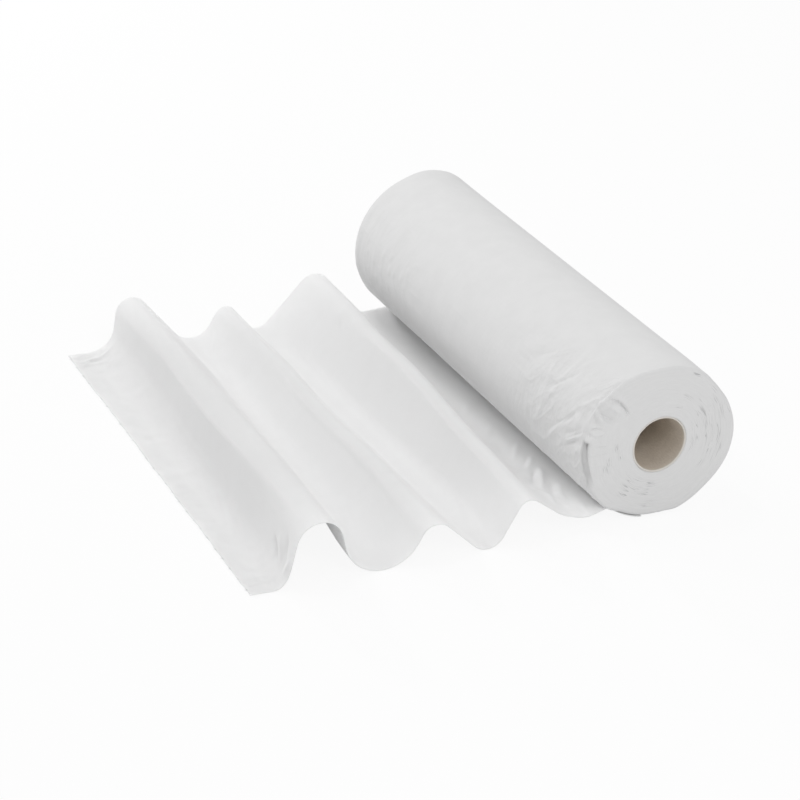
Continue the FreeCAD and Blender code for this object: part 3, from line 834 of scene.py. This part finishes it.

# %% [markdown]
# ## Turn edges as a node group
# On the end face each turn of the web shows its cut edge, a hair-fine ring. Most lie tight
# together. Here and there two turns have parted, and the gap shows as a short arc of painted
# shade. The group makes rings from the distance to the roll's axis and breaks them up round the roll.

# %% Turn edges
def make_turn_edges():
    group, given, out = new_group(
        "turn_edges",
        {"Parted": 0.0, "Axis height": AXIS_HEIGHT * MM, "Rings per metre": 900.0},
        {"Height": "NodeSocketFloat", "Gap": "NodeSocketFloat", "Ring": "NodeSocketFloat"},
    )
    place = group.nodes.new("ShaderNodeTexCoord").outputs["Object"]
    split = group.nodes.new("ShaderNodeSeparateXYZ")
    feed(group, split.inputs[0], place)
    across = split.outputs["X"]
    up = math_node(group, "SUBTRACT", split.outputs["Z"], given.outputs["Axis height"])
    squares = math_node(group, "MULTIPLY", across, across), math_node(group, "MULTIPLY", up, up)
    radius = math_node(group, "SQRT", math_node(group, "ADD", *squares))
    swing = math_node(group, "ARCTAN2", up, across)
    polar = group.nodes.new("ShaderNodeCombineXYZ")
    wobble = noise_node(group, place, 60.0, 2)
    wavy = math_node(group, "ADD", radius, math_node(group, "MULTIPLY", wobble, 0.004))
    feed(group, polar.inputs["X"], wavy)
    feed(group, polar.inputs["Y"], math_node(group, "MULTIPLY", swing, 0.010))

    def ring_noise(round_share, scale, detail, roughness):
        long_way_round = stretched(group, polar.outputs[0], (1.0, round_share, 1.0))
        return noise_node(group, long_way_round, scale, detail, roughness)

    rings = ring_noise(0.35, given.outputs["Rings per metre"], 2, 0.6)
    coarse = ring_noise(0.5, 260.0, 2, 0.5)
    hair = remap(group, folded(group, ring_noise(0.28, 620.0, 1, 0.4)), 0.035, 0.010)
    # The gap mask sinks the bump, and the material paints the gap dark as shade.
    gap = math_node(group, "MULTIPLY", given.outputs["Parted"], hair, clamp=True)
    feed(group, out.inputs["Height"], math_node(group, "SUBTRACT", blend(group, rings, 0.6, coarse), gap))
    feed(group, out.inputs["Gap"], gap)
    feed(group, out.inputs["Ring"], rings)
    return group


turn_edge_group = make_turn_edges()
print("group", turn_edge_group.name)

# %% [markdown]
# ## Painted shade in the gape as a node group
# Little light gets in where the outermost turns gape, over the rim and on the end face alike,
# so shade is painted into the paper's colour there. The group reads how far they gape from the mesh, and puts
# out how much painted shade goes on the paper.

# %% Painted shade in the gape
# The colour of the painted shade where the outermost turns gape.
PAINTED_GAPE_SHADE = (0.60, 0.60, 0.60, 1)


def mark_on_mesh(tree, name):
    """How strong a mark kept on the mesh is, from 0 to 1."""
    marks = tree.nodes.new("ShaderNodeAttribute")
    marks.attribute_name = name
    return marks.outputs["Fac"]


def make_gape_shade_group():
    group, _, out = new_group("gape_painted_shade", {}, {"Painted shade": "NodeSocketFloat"})
    feed(group, out.inputs["Painted shade"], remap(group, mark_on_mesh(group, "gaping"), 0.05, 1.0))
    return group


gape_painted_shade = make_gape_shade_group()
print("group", gape_painted_shade.name)

# %% [markdown]
# ## The paper
# Bleached crepe paper is a warm-neutral white that scatters light and never shines. Light
# also goes a little way through a single sheet. The tone from the grain moves its colour a
# few hundredths, which is as much as one sees on real paper.

# %% Paper material
def new_material(name, colour):
    material = bpy.data.materials.new(name)
    material.use_nodes = True
    material.diffuse_color = (*colour, 1)
    tree = material.node_tree
    return material, tree, tree.nodes["Principled BSDF"]


def place_group(tree, group):
    node = tree.nodes.new("ShaderNodeGroup")
    node.node_tree = group
    return node


def mix_colours(tree, share, first, second):
    node = tree.nodes.new("ShaderNodeMix")
    node.data_type = "RGBA"
    feed(tree, node.inputs[0], share)
    feed(tree, node.inputs[6], first)
    feed(tree, node.inputs[7], second)
    return node.outputs[2]


def bump(tree, height, strength, distance, over=None):
    node = tree.nodes.new("ShaderNodeBump")
    node.inputs["Strength"].default_value = strength
    node.inputs["Distance"].default_value = distance
    feed(tree, node.inputs["Height"], height)
    if over:
        feed(tree, node.inputs["Normal"], over)
    return node.outputs[0]


def finish(tree, shader, colour, roughness, surface, shine):
    """Give a material its colour, how rough and uneven it is, and how much it shines."""
    for label, value in (("Base Color", colour), ("Roughness", roughness), ("Normal", surface)):
        feed(tree, shader.inputs[label], value)
    shader.inputs["Specular IOR Level"].default_value = shine


def with_painted_gape_shade(tree, paper):
    """The paper's colour, darkened by painted shade in the hollow of the gape."""
    return mix_colours(tree, place_group(tree, gape_painted_shade).outputs["Painted shade"], paper, PAINTED_GAPE_SHADE)


def make_paper(name, bright, dull, relief, glow, creased=False):
    material, tree, shader = new_material(name, bright[:3])
    grain = place_group(tree, paper_grain)
    tone = remap(tree, grain.outputs["Tone"], 0.35, 0.65)
    colour = mix_colours(tree, tone, dull, bright)
    rough = remap(tree, grain.outputs["Height"], 0.3, 0.7, 0.96, 0.86)
    surface = bump(tree, grain.outputs["Height"], relief, 0.0004)
    if creased:
        # Painted shade where the outermost turns gape.
        colour = with_painted_gape_shade(tree, colour)
        creases = place_group(tree, fine_creases)
        feed(tree, creases.inputs["Handled"], mark_on_mesh(tree, "handled"))
        surface = bump(tree, creases.outputs["Height"], 0.25, 0.0011, surface)
    finish(tree, shader, colour, rough, surface, 0.15)
    shader.inputs["Subsurface Weight"].default_value = glow
    shader.inputs["Subsurface Radius"].default_value = (1, 1, 1)
    shader.inputs["Subsurface Scale"].default_value = 0.0007
    return material


# Both are the same paper. The sheet's colour is lighter than the roll's as painted light, for the extra light
# the thin single sheet gets through itself and from the table.
sheet_paper = make_paper("sheet_paper", (0.95, 0.95, 0.95, 1), (0.93, 0.93, 0.93, 1), 0.10, 1.0)
roll_paper = make_paper("roll_paper", (0.825, 0.825, 0.825, 1), (0.80, 0.80, 0.80, 1), 0.04, 0.0, True)


def make_cut_edges():
    material, tree, shader = new_material("cut_turn_edges", (0.78, 0.78, 0.77))
    edges = place_group(tree, turn_edge_group)
    feed(tree, edges.inputs["Parted"], mark_on_mesh(tree, "parted"))
    ring = remap(tree, edges.outputs["Ring"], 0.3, 0.7)
    plain = mix_colours(tree, ring, (0.81, 0.81, 0.81, 1), (0.835, 0.835, 0.835, 1))
    # Painted shade in the gaps where two turns have parted.
    gaps_with_painted_shade = mix_colours(tree, edges.outputs["Gap"], plain, (0.38, 0.38, 0.385, 1))
    rough = remap(tree, edges.outputs["Ring"], 0.3, 0.7, 1.0, 0.88)
    # The paper's colour, with painted shade where the outermost turns gape.
    finish(tree, shader, with_painted_gape_shade(tree, gaps_with_painted_shade), rough, bump(tree, edges.outputs["Height"], 0.12, 0.0005), 0.12)
    return material


cut_turn_edges = make_cut_edges()
loose_sheet.data.materials.append(sheet_paper)
wound_turns.data.materials.append(roll_paper)
wound_turns.data.materials.append(cut_turn_edges)
on_face = np.repeat((rest_radius < ROLL_RADIUS - RIM + 0.1) & (np.abs(rest_y) > FAR - 0.5), ROUND)
wound_turns.data.polygons.foreach_set("material_index", on_face.astype(int))
print(f"cut edges on {on_face.sum()} of {len(on_face)} faces")

# %% [markdown]
# ## The board
# Core board is made from waste paper, so it is a warm grey with flecks. The joint of the
# spiral strip is a thin darker line.

# %% Board material
def make_board():
    material, tree, shader = new_material("core_board", (0.42, 0.36, 0.30))
    web = tree.nodes.new("ShaderNodeUVMap")
    web.uv_map = "web"
    split = tree.nodes.new("ShaderNodeSeparateXYZ")
    feed(tree, split.inputs[0], web.outputs[0])
    turns = math_node(tree, "DIVIDE", split.outputs["X"], 2 * math.pi * CORE_RADIUS * MM)
    along = math_node(tree, "DIVIDE", split.outputs["Y"], STRIP_LEAD * MM)
    phase = math_node(tree, "FRACT", math_node(tree, "SUBTRACT", turns, along))
    joint = math_node(tree, "MULTIPLY", remap(tree, phase, 0.0, 0.006), remap(tree, phase, 0.03, 0.016))
    slanting = stretched(tree, web.outputs[0], (1.0, 0.4, 1.0), (0, 0, 0.6))
    flecks = noise_node(tree, slanting, 900.0, 4, 0.65)
    patches = noise_node(tree, web.outputs[0], 90.0, 3)
    tone = remap(tree, blend(tree, flecks, 0.6, patches), 0.35, 0.65)
    plain = mix_colours(tree, tone, (0.64, 0.57, 0.49, 1), (0.78, 0.71, 0.62, 1))
    jointed = mix_colours(tree, joint, plain, (0.30, 0.25, 0.20, 1))
    reach = math_node(tree, "ABSOLUTE", split.outputs["Y"])
    cut_end = remap(tree, reach, FAR * MM - 0.0012, FAR * MM - 0.0005)
    colour = mix_colours(tree, cut_end, jointed, (0.78, 0.75, 0.70, 1))
    rough = remap(tree, flecks, 0.3, 0.7, 0.95, 0.8)
    finish(tree, shader, colour, rough, bump(tree, flecks, 0.2, 0.0003), 0.2)
    return material


core_tube.data.materials.append(make_board())
print("materials", [material.name for material in bpy.data.materials])

# %% [markdown]
# ## What the pieces stand for
# The sheet and the wound turns are one web, so both stand for the CAD node paper_web. The
# detailed tube stands for the plain core.

# %% Pieces
for piece, node, slot in (
    (loose_sheet, "paper_web", "white_paper"),
    (wound_turns, "paper_web", "white_paper"),
    (core_tube, "core", "core_board"),
):
    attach(piece, "root")
    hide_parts(node)
print(f"sheet declared {ROLL_LENGTH:.0f} by {sheet_length:.0f}")

# %% [markdown]
# ## Table, backdrop and light
# The roll lies on a seamless white table. To the camera, the table is mostly a plain white
# of its own, so that it fades into the background, and the rest of it takes the shadow. Most
# of the light comes from the pale world, all round. Four lamps, overhead, behind on the left,
# low behind and in front, give the folds their soft light and dark sides.

# %% Table
TABLE_REACH, TABLE_TOP = 4000, -0.3
corners = [(x * TABLE_REACH, y * TABLE_REACH, TABLE_TOP) for x, y in ((-1, -1), (1, -1), (1, 1), (-1, 1))]
table = new_piece("table", np.array(corners), [[0, 1, 2, 3]])
material, tree, shader = new_material("table_white", (0.9, 0.9, 0.9))
shader.inputs["Base Color"].default_value = (0.92, 0.92, 0.92, 1)
shader.inputs["Roughness"].default_value = 0.9
shader.inputs["Specular IOR Level"].default_value = 0
glow = tree.nodes.new("ShaderNodeEmission")
glow.inputs["Color"].default_value = (1, 1, 1, 1)
mixer = tree.nodes.new("ShaderNodeMixShader")
path = tree.nodes.new("ShaderNodeLightPath")
feed(tree, mixer.inputs[0], math_node(tree, "MULTIPLY", path.outputs["Is Camera Ray"], 0.91))
feed(tree, mixer.inputs[1], shader.outputs[0])
feed(tree, mixer.inputs[2], glow.outputs[0])
feed(tree, tree.nodes["Material Output"].inputs["Surface"], mixer.outputs[0])
table.data.materials.append(material)

world = bpy.data.worlds.new("studio")
bpy.context.scene.world = world
world.use_nodes = True
tree = world.node_tree
background = tree.nodes["Background"]
path = tree.nodes.new("ShaderNodeLightPath")
seen = math_node(tree, "MAXIMUM", path.outputs["Is Camera Ray"], path.outputs["Is Glossy Ray"])
seen = math_node(tree, "MAXIMUM", seen, path.outputs["Is Transmission Ray"])
background.inputs["Color"].default_value = (1, 1, 1, 1)
feed(tree, background.inputs["Strength"], remap(tree, seen, 0, 1, 0.575, 1.0))


def area_lamp(name, where, target, size, power):
    lamp = bpy.data.objects.new(name, bpy.data.lights.new(name, "AREA"))
    lamp.data.shape = "DISK"
    lamp.data.size = size
    lamp.data.energy = power
    bpy.context.scene.collection.objects.link(lamp)
    lamp.location = where
    lamp.rotation_euler = (Vector(target) - Vector(where)).to_track_quat("-Z", "Y").to_euler()
    return lamp


middle_of_roll = (-0.1, 0, 0.03)
area_lamp("overhead", (-0.60, 0.50, 2.20), middle_of_roll, 0.4, 6)
area_lamp("side", (-1.08, 1.40, 1.57), middle_of_roll, 0.3, 4)
area_lamp("behind", (-0.401, 2.14, 0.817), middle_of_roll, 0.2, 11)
area_lamp("front", (-0.1, -1.76, 1.51), middle_of_roll, 1.0, 8)
bpy.context.scene.view_settings.view_transform = "Standard"
